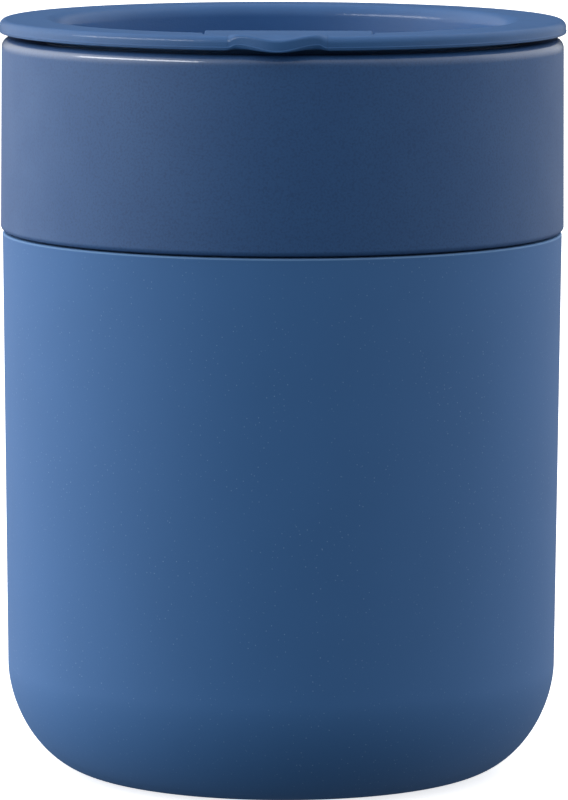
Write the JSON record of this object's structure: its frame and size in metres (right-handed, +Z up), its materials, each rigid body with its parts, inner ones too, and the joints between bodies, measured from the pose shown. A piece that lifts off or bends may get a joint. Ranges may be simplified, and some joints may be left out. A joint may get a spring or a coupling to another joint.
{
  "type": "travel mug",
  "caption": "Straight-sided ceramic travel mug with a silicone sleeve round its lower part and a press-in lid with a hinged sip flap.",
  "frame": {"origin": "middle of the underside, on the surface that the mug stands on", "axes": "+Z up along the mug's axis, -Y towards the thumb tab of the sip flap, +X to the right seen from the tab"},
  "size_m": [0.09, 0.0911, 0.1204],
  "materials": {
    "stoneware": "satin matt blue glaze",
    "sleeve_silicone": "matt blue moulded silicone",
    "lid_polypropylene": "satin blue moulded polypropylene",
    "flap_polypropylene": "satin blue moulded polypropylene",
    "seal_silicone": "soft blue silicone",
    "pin_steel": "plain stainless steel"
  },
  "bodies": {
    "mug": {"ceramic_cup": "stoneware", "silicone_sleeve": "sleeve_silicone"},
    "lid": {"lid_body": "lid_polypropylene", "lid_gasket": "seal_silicone", "hinge_pin": "pin_steel"},
    "flap": {"sip_flap": "flap_polypropylene", "flap_stopper": "seal_silicone"}
  },
  "joints": [
    {"name": "lid_lift", "type": "slide", "parent": "mug", "child": "lid", "axis": [0, 0, 1], "range_m": [0, 0.05]},
    {"name": "flap_hinge", "type": "hinge", "parent": "lid", "child": "flap", "pos_m": [0.0009, -0.03005, 0.11855], "axis": [-1, 0, 0], "range_deg": [0, 180]}
  ]
}
